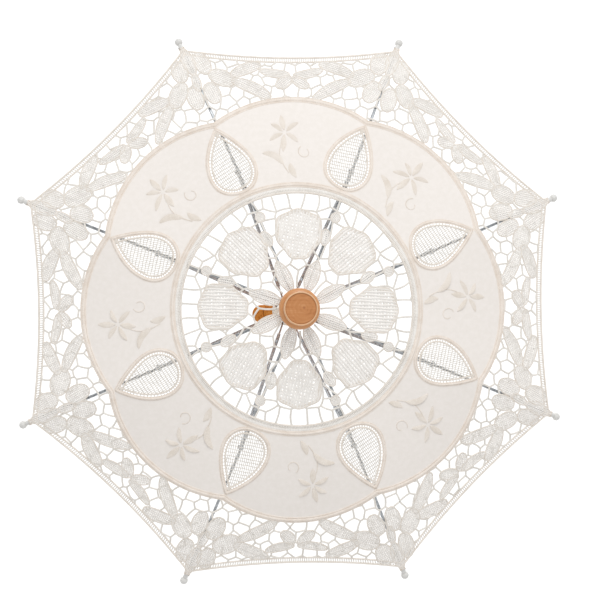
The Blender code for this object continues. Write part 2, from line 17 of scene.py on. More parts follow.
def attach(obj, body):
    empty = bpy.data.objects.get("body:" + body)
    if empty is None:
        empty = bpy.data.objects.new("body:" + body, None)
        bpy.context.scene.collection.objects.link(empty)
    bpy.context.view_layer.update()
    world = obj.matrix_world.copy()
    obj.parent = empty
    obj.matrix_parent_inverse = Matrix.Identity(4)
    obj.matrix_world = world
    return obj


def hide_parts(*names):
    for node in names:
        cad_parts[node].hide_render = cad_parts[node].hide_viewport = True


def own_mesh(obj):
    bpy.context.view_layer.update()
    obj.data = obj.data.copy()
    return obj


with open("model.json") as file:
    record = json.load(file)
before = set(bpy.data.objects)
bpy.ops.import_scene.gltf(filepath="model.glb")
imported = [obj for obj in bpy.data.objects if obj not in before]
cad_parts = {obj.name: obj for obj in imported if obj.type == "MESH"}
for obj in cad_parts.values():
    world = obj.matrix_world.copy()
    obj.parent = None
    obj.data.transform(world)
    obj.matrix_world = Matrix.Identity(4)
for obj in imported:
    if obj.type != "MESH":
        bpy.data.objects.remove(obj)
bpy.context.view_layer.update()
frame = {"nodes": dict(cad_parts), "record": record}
MM = 0.001
TINY = 1e-12
RIBS = 8
SECTOR = 2 * math.pi / RIBS
HALF = SECTOR / 2
TIP_RADIUS = 0.2057
chance = np.random.default_rng(38)

# %% [markdown]
# ## The surface that the cloth is stretched over
# A taut canopy is straight from rib to rib, and follows the bow of the ribs from crown to hem. So the
# height at a plan point is the height of the rib where a straight line through that point, square to
# the middle of the gore, meets the rib. Everything soft is drawn flat, in plan, and then lifted to
# this height.

# %% Heights of ribs and cloth
PIVOT_RADIUS, NOTCH_HEIGHT = 8.5 * MM, 0.290
DROP, BOW, END_RADIUS = 45 * MM, 9 * MM, 202.855 * MM
chord = math.hypot(END_RADIUS - PIVOT_RADIUS, DROP)
arc_half = 2 * math.atan(2 * BOW / chord)
arc_radius = chord / (2 * math.sin(arc_half))
start_slope = math.atan2(DROP, END_RADIUS - PIVOT_RADIUS) - arc_half
arc_x = PIVOT_RADIUS - arc_radius * math.sin(start_slope)
arc_z = NOTCH_HEIGHT - arc_radius * math.cos(start_slope)
ROUNDING = 0.02  # radians over which the cloth rounds off at a rib
STAND_OFF, CROWN_RISE, CROWN_RADIUS = 2.2 * MM, 1.3 * MM, 12 * MM
TWIST = math.radians(2.0)


def eased(value):
    """A smooth step from 0 to 1: three squares less two cubes."""
    value = np.clip(value, 0, 1)
    return value * value * (3 - 2 * value)


def off_rib(x, y):
    """Angle from the nearest rib, in radians."""
    return np.mod(np.arctan2(y, x), SECTOR) - HALF


def rib_height(radius):
    """Height of the middle of a rib's wire: a circular arc over the radius."""
    return arc_z + np.sqrt(arc_radius**2 - (radius - arc_x) ** 2)


def cloth_height(x, y):
    """Height of the middle of the cloth: the rib's arc at the point's level, plus a stand-off."""
    off = np.sqrt(off_rib(x, y) ** 2 + ROUNDING**2) - ROUNDING
    level = np.hypot(x, y) * np.cos(HALF - off) / math.cos(HALF)
    crown = 1 - eased((level - CROWN_RADIUS) / CROWN_RADIUS)
    return rib_height(level) + STAND_OFF + CROWN_RISE * crown


def turned_by(points, angle):
    """Plan points turned about the stick."""
    c, s = np.cos(angle), np.sin(angle)
    x, y = points[..., 0], points[..., 1]
    return np.stack([c * x - s * y, s * x + c * y], -1)


def twisted(points):
    """The lace was sewn on a little askew: the linen ring sits up to 2 degrees round from the ribs."""
    share = np.hypot(points[..., 0], points[..., 1]) / TIP_RADIUS
    askew = eased((share - 0.36) / 0.10) * (1 - eased((share - 0.56) / 0.20))
    return turned_by(points, TWIST * askew)


def lifted(points, over=0.0):
    """Plan points on the cloth, raised by a height."""
    points = twisted(np.asarray(points, float))
    height = cloth_height(points[..., 0], points[..., 1]) + over
    return np.concatenate([points, height[..., None]], -1)


# %% [markdown]
# ## Threads, cords and tapes from one sweep
# A thread, a cord and each strand of a braid are all a line with an oval section. The sweep takes many
# lines at once, as one array, with the section's half width and half height at every point. Each heap
# below gathers the pieces of one material, and is later cut into shares for the ribs.

# %% The sweep and the heaps
HEAPS = ("tape", "edge", "thread", "leaf", "stitch")
heaps = {name: {"points": [], "faces": [], "count": 0} for name in HEAPS}


def heap_add(name, points, faces):
    """Adds a block of points, and faces that index it, to a heap."""
    heap = heaps[name]
    points = points.reshape(-1, 3)
    heap["points"].append(points)
    heap["faces"].append(faces.reshape(-1, 4) + heap["count"])
    heap["count"] += len(points)


def unit(vectors):
    """Vectors divided by their length."""
    return vectors / (np.linalg.norm(vectors, axis=-1, keepdims=True) + TINY)


def leftward(vectors):
    """Plan vectors turned a quarter to the left."""
    return np.stack([-vectors[..., 1], vectors[..., 0]], -1)


def run_of(lines, axis, closed):
    """Direction along lines: the difference of the neighbours of each point."""
    if closed:
        return np.roll(lines, -1, axis) - np.roll(lines, 1, axis)
    return np.gradient(lines, axis=axis)


def sweep(name, lines, across, thick, sides=6, closed=False):
    """Lines (count, length, 3) with an oval section: centre + across cos side + thick sin up."""
    lines = np.asarray(lines, float)
    count, length = lines.shape[:2]
    along = unit(run_of(lines, 1, closed))
    side = unit(np.cross(along, [0.0, 0.0, 1.0]))
    top = np.cross(side, along)
    angle = np.linspace(0, 2 * math.pi, sides, endpoint=False)[:, None]
    across = np.broadcast_to(across, (count, length))[..., None, None]
    thick = np.broadcast_to(thick, (count, length))[..., None, None]
    ring = across * np.cos(angle) * side[:, :, None] + thick * np.sin(angle) * top[:, :, None]
    points = lines[:, :, None] + ring
    index = np.arange(count * length * sides).reshape(count, length, sides)
    ahead = np.roll(index, -1, 1) if closed else index[:, 1:]
    here = index if closed else index[:, :-1]
    faces = np.stack([here, ahead, np.roll(ahead, -1, 2), np.roll(here, -1, 2)], -1)
    heap_add(name, points, faces)


def cords(name, loops, radius, over=0.0, flat=1.0, closed=True, sides=6):
    """Round cords along plan loops (count, length, 2), raised, and flattened by a share."""
    sweep(name, lifted(loops, over), radius, radius * flat, sides, closed)


def shifted(loops, distance, closed=True):
    """Plan loops moved sideways by a distance, to the left of their run."""
    return loops + distance * leftward(unit(run_of(loops, -2, closed)))


def braid(loops, half):
    """A woven tape: a raised middle cord and a flatter cord at each edge, a little uneven in width."""
    wave = 1 + 0.10 * np.sin(np.arange(loops.shape[-2]) * 2.1)
    sweep("tape", lifted(loops, 0.25 * MM), 0.62 * half * wave, 0.62 * MM * wave, 8, True)
    for edge in (-0.78, 0.78):
        cords("tape", shifted(loops, edge * half), 0.30 * half, 0.05 * MM, 0.9)


def ladder(name, inner, outer, radius):
    """Short threads from one plan line to another, point by point."""
    inner, outer = inner.reshape(-1, 2), outer.reshape(-1, 2)
    share = np.linspace(0, 1, 3)[:, None]
    lines = inner[:, None] * (1 - share) + outer[:, None] * share
    cords(name, lines, radius, closed=False, sides=4)


def round_the_stick(points, jitter=0.0):
    """Eight copies of plan points, given for the gore along +X, each shifted a little at random."""
    points = np.asarray(points, float)
    copies = np.stack([turned_by(points, gore * SECTOR) for gore in range(RIBS)])
    shape = (RIBS,) + (1,) * (points.ndim - 1) + (2,)
    return copies + jitter * chance.uniform(-1, 1, shape)


# %% [markdown]
# ## The edges that everything hangs between
# Four outlines set the pattern: the ring inside the linen, the linen's scalloped outer edge, the
# drop-shaped windows on the ribs, and the hem, which is drawn tight between the rib ends and so
# curves inwards.

# %% Outlines
RING_IN, RING_OUT = 79.4 * MM, 84.8 * MM
SCALLOP_RIB, SCALLOP_MIDDLE = 137.5 * MM, 145.0 * MM
HEM_CORNER, HEM_MIDDLE, HEM_TAPE = 195.5 * MM, 175.5 * MM, 3.2 * MM


def scallop_radius(angle_off_rib):
    """Outer edge of the linen: a rounded scallop in each gore, with a cusp at each rib."""
    share = np.abs(angle_off_rib) / HALF
    return SCALLOP_RIB + (SCALLOP_MIDDLE - SCALLOP_RIB) * np.sin(math.pi / 2 * share) ** 0.85


def hem_radius(angle_off_rib):
    """Hem: a parabola between two rib corners, solved for the radius by repeating it."""
    off = HALF - np.abs(angle_off_rib)
    corner_x, corner_y = HEM_CORNER * math.cos(HALF), HEM_CORNER * math.sin(HALF)
    radius = np.full_like(off, HEM_MIDDLE)
    for _ in range(12):
        sag = (corner_x - HEM_MIDDLE) * (radius * np.sin(off) / corner_y) ** 2
        radius = (HEM_MIDDLE + sag) / np.cos(off)
    return radius


def polar(radius, angle):
    """Plan points at a radius and an angle."""
    return np.stack([radius * np.cos(angle), radius * np.sin(angle)], -1)


def window_outline(count):
    """Drop shape along a rib at angle 0: a cosine along it, and across it a sine that fades out."""
    turn = np.linspace(0, 2 * math.pi, count, endpoint=False)
    along = 110.9 + 23.4 * np.cos(turn)
    aside = 15.7 * np.sin(turn) * np.sin(turn / 2) ** 0.9 / 0.775
    return np.stack([along, aside], -1) * MM


around = np.linspace(0, 2 * math.pi, 1440, endpoint=False)
rib_off = np.mod(around, SECTOR) - HALF
ring_in = polar(RING_IN, around)
ring_out = polar(RING_OUT, around)
scallops = polar(scallop_radius(rib_off), around)
hem = polar(hem_radius(rib_off), around)
window = turned_by(window_outline(220), HALF)
windows = round_the_stick(window)
print("hem from", HEM_MIDDLE, "to", HEM_CORNER)

# %% [markdown]
# ## Linen panels
# The linen of one gore share is a square with a hole in it: the square runs from ring to scallop and
# from gore middle to gore middle, and the hole is the window. Straight lines from the window's edge to
# the square's edge make a grid that follows both, and a small lift gives the sheet its thickness.

# %% Linen
LINEN_HALF, LINEN_TUCK = 0.22 * MM, 0.5 * MM
LINEN_MIDDLE = np.array([0.46, 0.0])  # where the straight lines start, as shares of the square


def linen_grid(layers=16):
    """Grid (around, layers, 2) of radius and angle off the rib, from the window to the panel's edge."""
    edge = window_outline(240)
    radius, angle = np.hypot(edge[:, 0], edge[:, 1]), np.arctan2(edge[:, 1], edge[:, 0])
    inner = RING_OUT - LINEN_TUCK
    u = (radius - inner) / (scallop_radius(angle) - inner)
    v = angle / HALF
    ray = np.stack([np.clip(u, 0.02, 0.985), v], -1) - LINEN_MIDDLE
    with np.errstate(divide="ignore"):
        reach_u = np.where(ray[:, 0] > 0, 1 - LINEN_MIDDLE[0], -LINEN_MIDDLE[0]) / ray[:, 0]
        reach_v = np.abs(1 / ray[:, 1])
    border = LINEN_MIDDLE + ray * np.minimum(reach_u, reach_v)[:, None]
    for corner in ((0, -1), (0, 1), (1, -1), (1, 1)):
        border[np.argmin(np.linalg.norm(border - corner, axis=1))] = corner
    share = np.linspace(0, 1, layers)[:, None]
    spread = (LINEN_MIDDLE + ray)[:, None] * (1 - share) + border[:, None] * share
    angle = spread[..., 1] * HALF
    return np.stack([inner + spread[..., 0] * (scallop_radius(angle) - inner), angle], -1)


def shell_faces(count, layers):
    """Faces of a closed sheet: a top grid, a bottom grid turned over, and the two rims."""
    index = np.arange(count * layers).reshape(count, layers)
    after = np.roll(index, -1, 0)
    top = np.stack([index[:, :-1], index[:, 1:], after[:, 1:], after[:, :-1]], -1).reshape(-1, 4)
    below = count * layers
    hole = np.stack([index[:, 0], after[:, 0], after[:, 0] + below, index[:, 0] + below], -1)
    rim = np.stack([index[:, -1], index[:, -1] + below, after[:, -1] + below, after[:, -1]], -1)
    return np.concatenate([top, top[:, ::-1] + below, hole, rim])


def mesh_object(name, points, faces):
    """A mesh object at the origin, smooth except at sharp edges."""
    mesh = bpy.data.meshes.new(name)
    mesh.from_pydata(points.reshape(-1, 3).tolist(), [], faces.tolist())
    mesh.shade_smooth()
    mesh.set_sharp_from_angle(angle=math.radians(50))
    made = bpy.data.objects.new(name, mesh)
    bpy.context.scene.collection.objects.link(made)
    return made


grid = linen_grid()
linen_faces = shell_faces(*grid.shape[:2])
linens = []
for rib in range(RIBS):
    plan = polar(grid[..., 0], grid[..., 1] + HALF + rib * SECTOR)
    sides = [lifted(plan, over).reshape(-1, 3) for over in (LINEN_HALF, -LINEN_HALF)]
    linens.append(mesh_object(f"linen_{rib + 1}", np.concatenate(sides), linen_faces))
print("linen faces", len(linen_faces))

# %% [markdown]
# ## Braid, ladder and hem
# A tape runs round the ring, round every scallop and round every window. A ladder of fine threads over
# a flat band joins the ring's tape to the first cord of the lace. The hem is two cords with the same
# ladder between them, and each window has a ladder and a cord inside its tape.

# %% Tapes and hem
FLAT_BAND, FRINGE = 81.7 * MM, 3.0 * MM
braid(ring_out[None], 1.75 * MM)
braid(scallops[None], 1.95 * MM)
braid(windows, 1.35 * MM)
cords("edge", ring_in[None], 0.75 * MM)
flat_band = lifted(polar(FLAT_BAND, around)[None], -0.1 * MM)
sweep("leaf", flat_band, 1.2 * MM, 0.3 * MM, 8, True)
ladder("thread", ring_in[::3], ring_out[::3], 0.36 * MM)
cords("edge", hem[None], 0.66 * MM)
hem_in = hem * (1 - HEM_TAPE / np.hypot(hem[:, :1], hem[:, 1:]))
cords("edge", hem_in[None], 0.60 * MM)
ladder("thread", hem_in[::2], hem[::2], 0.33 * MM)
fringe = turned_by(window_outline(64), HALF)
fringe_in = shifted(fringe, FRINGE)
ladder("thread", round_the_stick(fringe), round_the_stick(fringe_in), 0.28 * MM)
cords("edge", round_the_stick(shifted(window, FRINGE)), 0.62 * MM)
print("rungs of ring and hem", len(ring_in[::3]), len(hem[::2]))

# %% [markdown]
# ## Net fillings
# The petals of the medallion and the windows are filled with crossed threads. Every thread is a
# straight line cut off where it meets the outline; the outline's edges that it crosses give both ends.
# Threads are never quite straight, so each gets a small wave, and the two directions lie one above the
# other.

# %% Nets
PETAL_MIDDLE = 51.0 * MM
PETAL_LONG, PETAL_WIDE, PETAL_TAPER = 16.6, 15.2, 0.25  # half sizes in millimetres, and a share
CROSSING = 0.16 * MM
WINDOW_MIDDLE, WINDOW_INSET = 111 * MM, 2.8 * MM


def net(
    outline, step, radius, centre, turn, name="thread", over=0.0,
    count=14, loose=0.10, steps=(1, 1), flat=1.0,
):  # fmt: skip
    """Crossed threads in one closed plan outline, each cut off at the edges that it crosses."""
    local = turned_by(outline - centre, -turn)
    following = np.roll(local, -1, 0)
    for axis in (0, 1):
        low, high = local[:, axis].min(), local[:, axis].max()
        number = max(2, round((high - low) / (step * steps[axis])))
        rows = low + (high - low) * (np.arange(number) + 0.5) / number
        rows = (rows + chance.normal(0, 0.05 * step, number))[:, None]
        a, b = local[:, axis] - rows, following[:, axis] - rows
        share = np.where(a * b < 0, a / (a - b + 1e-15), np.nan)
        other = local[:, 1 - axis] + share * (following[:, 1 - axis] - local[:, 1 - axis])
        start, end = np.nanmin(other, 1), np.nanmax(other, 1)
        run = start[:, None] + (end - start)[:, None] * np.linspace(0, 1, count)
        wobble = rows + loose * step * np.sin(run / step * 0.9 + rows * 900)
        pair = [wobble, run] if axis == 0 else [run, wobble]
        lines = turned_by(np.stack(pair, -1), turn) + centre
        cords(name, lines, radius, over + (CROSSING if axis else -CROSSING), flat, False, 4)


def petal_outline(count):
    """A rounded shield: a circle with seven soft lobes, narrower towards the stick."""
    turn = np.linspace(0, 2 * math.pi, count, endpoint=False)
    lobes = 1 + 0.034 * np.cos(7 * turn)
    along = PETAL_LONG * np.cos(turn) * lobes
    aside = PETAL_WIDE * np.sin(turn) * lobes * (1 + PETAL_TAPER * np.cos(turn))
    return np.stack([along, aside], -1) * MM


petals = []
for gore in range(RIBS):
    turn = gore * SECTOR + math.radians(chance.uniform(-2.2, 2.2))
    centre = polar(PETAL_MIDDLE + chance.uniform(-1, 1) * MM, turn)
    lean = turn + math.radians(chance.uniform(-4, 4))
    size = chance.uniform(0.97, 1.03)
    outline = turned_by(petal_outline(160) * size, lean) + centre
    petals.append((centre, lean, size))
    weave = lean + math.radians(chance.uniform(-12, 12))
    net(outline, 2.2 * MM, 0.87 * MM, centre, weave, "leaf", 0.1 * MM, flat=0.6)
    cords("edge", outline[None], 0.75 * MM, 0.15 * MM, 0.8)
    cords("edge", shifted(outline, 1.4 * MM)[None], 0.50 * MM, 0.1 * MM)
for rib in range(RIBS):
    turn = HALF + rib * SECTOR
    pane = turned_by(shifted(window_outline(200), WINDOW_INSET), turn)
    weave = turn + math.radians(8)
    net(pane, 1.35 * MM, 0.27 * MM, polar(WINDOW_MIDDLE, turn), weave, steps=(1.7, 1))
print("petals", len(petals))

# %% [markdown]
# ## Leaves of the lace
# Eight slim leaves make a star under the finial, small ovals link the petals, and a dot sits out by
# the ring on each rib. In the border, fat leaves fan out from every rib end, and long ones open like a
# V towards a small flower in the middle of the gore. Half a gore is listed, as distance from its
# middle and radius along it, and the other half is its mirror image.

# %% Leaves
LEAF_CORD, LEAF_THREAD, LEAF_STEP = 0.48 * MM, 0.46 * MM, 1.3 * MM
woven = []


def leaf_lines(base, tip, count, bend=0.0):
    """Spines of leaves from base to tip, bent sideways by a share of their length."""
    share = np.linspace(0, 1, count)[:, None]
    along = tip - base
    aside = leftward(along)
    return base[:, None] + along[:, None] * share + bend * aside[:, None] * np.sin(math.pi * share)


def leaf_width(width, count, blunt):
    """Half width along a leaf: a sine to a power; a small power gives a blunt leaf, 1 a pointed one."""
    share = np.linspace(0.012, 0.988, count)
    return np.asarray(width, float)[:, None] / 2 * np.sin(math.pi * share) ** blunt


def leaves(base, tip, width, blunt=0.5, bend=0.0, step=LEAF_STEP):
    """Woven leaves: a cord round an outline whose half width is a power of a sine, and a net in it."""
    base, tip = base.reshape(-1, 2), tip.reshape(-1, 2)
    width = np.broadcast_to(width, len(base))
    spine = leaf_lines(base, tip, 40, bend)
    half = leaf_width(width, 40, blunt)[..., None]
    aside = half * leftward(unit(run_of(spine, 1, False)))
    outlines = np.concatenate([spine - aside, (spine + aside)[:, ::-1]], 1)
    cords("edge", outlines, LEAF_CORD, 0.15 * MM, sides=5)
    for outline, b, t, w in zip(outlines, base, tip, width):
        turn = math.atan2(*(t - b)[::-1])
        net(outline, step, LEAF_THREAD, (b + t) / 2, turn, "leaf", 0.05 * MM, 9, 0.05)
        woven.append((*b, *t, w))


star = np.radians([23.0, 64.5, 111.5, 158.0, 203.0, 250.5, 290.0, 335.0])
leaves(polar(12.5 * MM, star), polar(35 * MM, star + 0.05), 9.4 * MM, 0.62)
link = HALF + np.arange(RIBS) * SECTOR
leaves(polar(46.5 * MM, link), polar(57.5 * MM, link + 0.04), 7.0 * MM, 0.6)
leaves(polar(64.0 * MM, link), polar(70.4 * MM, link - 0.02), 6.4 * MM, 0.45, step=1.0 * MM)

half_gore = np.array(
    [
        # middle distance and radius of the base, then of the tip, and the width, in millimetres
        [67.0, 178.0, 58.5, 163.5, 11.6],
        [57.5, 163.5, 40.5, 157.0, 12.4],
        [60.0, 157.0, 52.0, 142.5, 11.2],
        [41.5, 159.0, 15.5, 146.0, 8.2],
        [43.0, 162.0, 20.5, 170.5, 8.4],
        [1.0, 162.0, 11.5, 154.5, 7.4],
        [1.5, 162.8, 22.0, 166.5, 6.0],
    ]
)
for base_y, base_x, tip_y, tip_x, wide in half_gore:
    for mirror in (1, -1):
        base = round_the_stick(np.array([[base_x, mirror * base_y]]) * MM, 0.7 * MM)
        tip = round_the_stick(np.array([[tip_x, mirror * tip_y]]) * MM, 0.9 * MM)
        leaves(base, tip, wide * MM * chance.uniform(0.92, 1.08, RIBS), 0.42, mirror * 0.04)
leaves(polar(164.0 * MM, link + 0.01), polar(177.0 * MM, link), 5.6 * MM, 0.5)
leaves(polar(175.5 * MM, link), polar(197.5 * MM, link), 8.6 * MM, 0.7)
print("leaves", len(woven))

# %% [markdown]
# ## Brides
# Brides are the single threads that hold lace together. They meet three at a time, as soap films do,
# so they are drawn as the borders between cells: seeds are scattered where the cells should be, and
# the border between two neighbouring seeds joins the centres of the circles through them. Borders are
# cut where they meet a tape, and left out where a leaf or a petal covers them.

# %% Brides
SHORTEST, MARGIN, CROWN_EDGE = 0.8 * MM, 0.8 * MM, 15 * MM


def cell_borders(seeds):
    """Borders of the cells round seeds: they join the circle centres of triangles that share an edge."""
    made = delaunay_2d_cdt([Vector(p) for p in seeds.tolist()], [], [], 0, 1e-9)
    points, corners = np.array([v[:] for v in made[0]]), np.array(made[2])
    a, b, c = (points[corners[:, i]] for i in range(3))
    b, c = b - a, c - a
    twice = 2 * (b[:, 0] * c[:, 1] - b[:, 1] * c[:, 0])
    bb, cc = (b**2).sum(1), (c**2).sum(1)
    over = np.stack([c[:, 1] * bb - b[:, 1] * cc, b[:, 0] * cc - c[:, 0] * bb], 1)
    centre = over / (twice[:, None] + 1e-18) + a
    edges = np.concatenate([corners[:, [0, 1]], corners[:, [1, 2]], corners[:, [2, 0]]])
    edges = np.sort(edges, 1)
    owner = np.tile(np.arange(len(corners)), 3)
    order = np.lexsort((edges[:, 1], edges[:, 0]))
    same = (edges[order][1:] == edges[order][:-1]).all(1)
    return centre[owner[order][:-1][same]], centre[owner[order][1:][same]]


def covered(points):
    """Whether a petal or a leaf lies over plan points, by more than a margin."""
    hidden = np.zeros(points.shape[:-1], bool)
    for centre, lean, size in petals:
        local = turned_by(points - centre, -lean) / (size * MM)
        turn = np.arctan2(local[..., 1] / PETAL_WIDE, local[..., 0] / PETAL_LONG)
        aside = PETAL_WIDE * np.sin(turn) * (1 + PETAL_TAPER * np.cos(turn))
        reach = np.hypot(PETAL_LONG * np.cos(turn), aside)
        hidden |= np.hypot(local[..., 0], local[..., 1]) < reach - MARGIN / MM
    for bx, by, tx, ty, wide in woven:
        along = np.array([tx - bx, ty - by])
        length = np.hypot(*along)
        share = ((points - [bx, by]) @ along) / length**2
        aside = np.abs((points - [bx, by]) @ leftward(along)) / length
        half = wide / 2 * np.sin(math.pi * np.clip(share, 0, 1)) ** 0.58
        hidden |= (share > 0.05) & (share < 0.95) & (aside < half - MARGIN)
    return hidden


def brides(seeds, inside, radius):
    """Borders of the seeds' cells, kept where inside(points) holds, cut at its edge, drawn as threads."""
    start, end = cell_borders(seeds)
    start_in, end_in = inside(start), inside(end)
    swap = end_in & ~start_in
    start[swap], end[swap] = end[swap].copy(), start[swap].copy()
    keep = (start_in | end_in) & (np.linalg.norm(end - start, axis=1) > SHORTEST)
    start, end = start[keep], end[keep]
    near, far = start, end
    for _ in range(14):
        middle = (near + far) / 2
        good = inside(middle)[:, None]
        near, far = np.where(good, middle, near), np.where(good, far, middle)
    end = np.where(inside(end)[:, None], end, near)
    share = np.linspace(0, 1, 9)[:, None]
    lines = start[:, None] * (1 - share) + end[:, None] * share
    lines = lines[(~covered(lines)).sum(1) >= 3]
    aside = leftward(np.gradient(lines, axis=1)) * np.sin(math.pi * share[None])
    lines = lines + aside * chance.uniform(-0.5, 0.5, (len(lines), 1, 1))
    cords("thread", lines, radius, -0.1 * MM, closed=False)
    second = shifted(lines, 0.35 * MM, False)
    cords("thread", second, radius * 0.7, 0.15 * MM, closed=False, sides=5)
    return len(lines)


def in_medallion(points):
    """Whether plan points lie between the finial and the ring."""
    radius = np.hypot(points[..., 0], points[..., 1])
    return (radius < RING_IN) & (radius > CROWN_EDGE)


def in_border(points):
    """Whether plan points lie between the scallops and the hem's inner cord."""
    radius = np.hypot(points[..., 0], points[..., 1])
    off = off_rib(points[..., 0], points[..., 1])
    return (radius > scallop_radius(off)) & (radius < hem_radius(off) - HEM_TAPE)


gore_cells = np.array(  # radius in millimetres and angle in degrees, in the gore along +X
    [[75.4, -15.5], [75.7, -8.0], [75.9, 0], [75.7, 8.0], [75.4, 15.5], [76.4, -20.4], [76.4, 20.4]]
    + [[68.3, 19.2], [68.3, -19.2], [60.6, 20.4], [60.6, -20.4]]
    + [[85, -13], [85, -4.5], [85, 4.5], [85, 13], [85, 21.5], [85, -21.5]]
    + [[59, -8], [59, 8], [48, -8], [48, 8]]
    + [[40.5, 0], [36.5, -13], [36.5, 13], [30, 0], [25, -9], [25, 9], [43, 19], [43, -19]]
)
inner_seeds = round_the_stick(polar(gore_cells[:, 0] * MM, np.radians(gore_cells[:, 1])))
inner_seeds = inner_seeds.reshape(-1, 2)
inner_seeds += chance.normal(0, 0.7 * MM, inner_seeds.shape)
made_inside = brides(inner_seeds, in_medallion, 0.62 * MM)

PITCH = 9.6 * MM
column, row = np.meshgrid(np.arange(-24, 25), np.arange(-27, 28))
cells = np.stack([(column + 0.5 * (row % 2)) * PITCH, row * PITCH * 0.87], -1).reshape(-1, 2)
cells += chance.uniform(-0.24, 0.24, cells.shape) * PITCH
cell_radius = np.hypot(cells[:, 0], cells[:, 1])
cell_off = off_rib(cells[:, 0], cells[:, 1])
past_scallop = cell_radius > scallop_radius(cell_off) - 9 * MM
before_hem = cell_radius < hem_radius(cell_off) + 7 * MM
made_outside = brides(cells[past_scallop & before_hem], in_border, 0.60 * MM)
print("brides", made_inside, made_outside)

# %% [markdown]
# ## Embroidery and the tied corners
# Each gore of the linen carries a small flower, two leaves and a curl, in satin stitch. A stitched
# petal is again a leaf, but thin and ribbed across its run. It was sewn by hand, so every gore's motif
# is turned and shifted a little. At the rib ends the lace is bound to the rib with turns of thread.

# %% Stitching
STITCH_RISE = 0.30 * MM
MOTIF = np.array([110.0, 4.0]) * MM
FLOWER = np.array([120.5, 4.0])
PETAL_ANGLES = np.radians([12, 62, 118, 172, 236, 302])
PETAL_REACHES = (13.0, 11.5, 12.5, 13.0, 12.0, 11.0)
motif_lean = np.radians(chance.uniform(-6, 6, RIBS))
motif_slip = chance.uniform(-1.8, 1.8, (RIBS, 2)) * MM


def stitched(base, tip, width, bend=0.0):
    """Satin-stitch leaves on the top of the linen."""
    base, tip = base.reshape(-1, 2), tip.reshape(-1, 2)
    spine = leaf_lines(base, tip, 40, bend)
    half = leaf_width(np.full(len(base), width), 40, 0.75)
    rows = 0.8 + 0.2 * np.cos(np.arange(40) * math.pi / 2)
    sweep("stitch", lifted(spine, STITCH_RISE), half, STITCH_RISE * rows, 8)


def on_gores(points):
    """Points of the motif, in millimetres in the gore along +X, set on every gore with its own lean."""
    points = np.asarray(points, float) * MM - MOTIF
    leant = [turned_by(points, lean) + MOTIF + slip for lean, slip in zip(motif_lean, motif_slip)]
    return np.stack([turned_by(copy, gore * SECTOR) for gore, copy in enumerate(leant)])


for angle, reach in zip(PETAL_ANGLES, PETAL_REACHES):
    way = np.array([math.cos(angle), math.sin(angle)])
    stray = 1.1 * MM * chance.uniform(-1, 1, (RIBS, 1, 2))
    stitched(on_gores([FLOWER + 1.6 * way]), on_gores([FLOWER + reach * way]) + stray, 4.1 * MM)
stitched(on_gores([[98.0, 6.0]]), on_gores([[106.5, 20.0]]), 6.2 * MM, -0.08)
stitched(on_gores([[88.5, -1.5]]), on_gores([[98.5, 1.5]]), 4.6 * MM, 0.08)
curl = np.linspace(0, 1, 40)
stem = np.stack([92 + 26 * curl, 3 + 5 * np.sin(curl * 3.1) + 0.5 * curl], -1)
cords("stitch", on_gores(stem), 0.36 * MM, 0.28 * MM, 0.7, False, 5)
shrink = 4.6 * (1 - 0.45 * curl)
wound = 5.0 * curl + 0.5
coil = np.stack([106 + shrink * np.cos(wound), -9 + shrink * np.sin(wound)], -1)
cords("stitch", on_gores(coil), 0.34 * MM, 0.28 * MM, 0.7, False, 5)

BINDING_START, BINDING_RUN, BINDING_TURNS = 192.5 * MM, 6.0 * MM, 7
BINDING_RADIUS, BINDING_THREAD = 1.85 * MM, 0.40 * MM
wind = np.linspace(0, BINDING_TURNS * 2 * math.pi, 150)
bound = BINDING_START + BINDING_RUN * wind / wind[-1]
bound_height = rib_height(bound) + 0.35 * MM + BINDING_RADIUS * np.sin(wind)
for rib in range(RIBS):
    spot = turned_by(np.stack([bound, BINDING_RADIUS * np.cos(wind)], -1), HALF + rib * SECTOR)
    binding = np.concatenate([spot, bound_height[:, None]], 1)
    sweep("tape", binding[None], BINDING_THREAD, BINDING_THREAD, 5)
print("stitch points", heaps["stitch"]["count"])

# %% [markdown]
# ## Shares for the ribs
# Each heap is cut by the middles of the gores: a face goes to the rib nearest its middle. Every share
# rides on its rib, and a share is also cut into bands by radius.

# %% Cut the heaps and hang them on the ribs
BAND_ENDS = np.array([30, 45, 60, 72, 80.2, 147, 156, 165, 174]) * MM


def gather(piece, rib):
    """Hangs a soft piece on its rib, and gives it a mesh of its own."""
    turn = HALF + rib * SECTOR
    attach(piece, f"rib_{rib + 1}")
    f"rib_{rib + 1}_hinge"
    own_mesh(piece)


soft = {name: [[] for _ in range(RIBS)] for name in heaps}
for name, heap in heaps.items():
    points = np.concatenate(heap["points"])
    faces = np.concatenate(heap["faces"])
    middle = points[faces].mean(1)
    heading = np.mod(np.arctan2(middle[:, 1], middle[:, 0]), 2 * math.pi)
    owner = (heading // SECTOR).astype(int)
    band = np.searchsorted(BAND_ENDS, np.hypot(middle[:, 0], middle[:, 1]))
    for rib, number in sorted(set(zip(owner.tolist(), band.tolist()))):
        own = faces[(owner == rib) & (band == number)]
        used, back = np.unique(own, return_inverse=True)
        piece = mesh_object(f"{name}_{rib + 1}_{number + 1}", points[used], back.reshape(own.shape))
        gather(piece, rib)
        soft[name][rib].append(piece)
    print(name, "faces", len(faces), "pieces", sum(map(len, soft[name])))
for rib in range(RIBS):
    gather(linens[rib], rib)
    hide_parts(f"canopy_panel_{rib + 1}")

# %% [markdown]
# ## Turned wood
# The finial and the grip are turned on a lathe, so each is a profile carried round the axis. A spline
# through a few points of the profile gives smooth curves, and the flat ends are left straight.

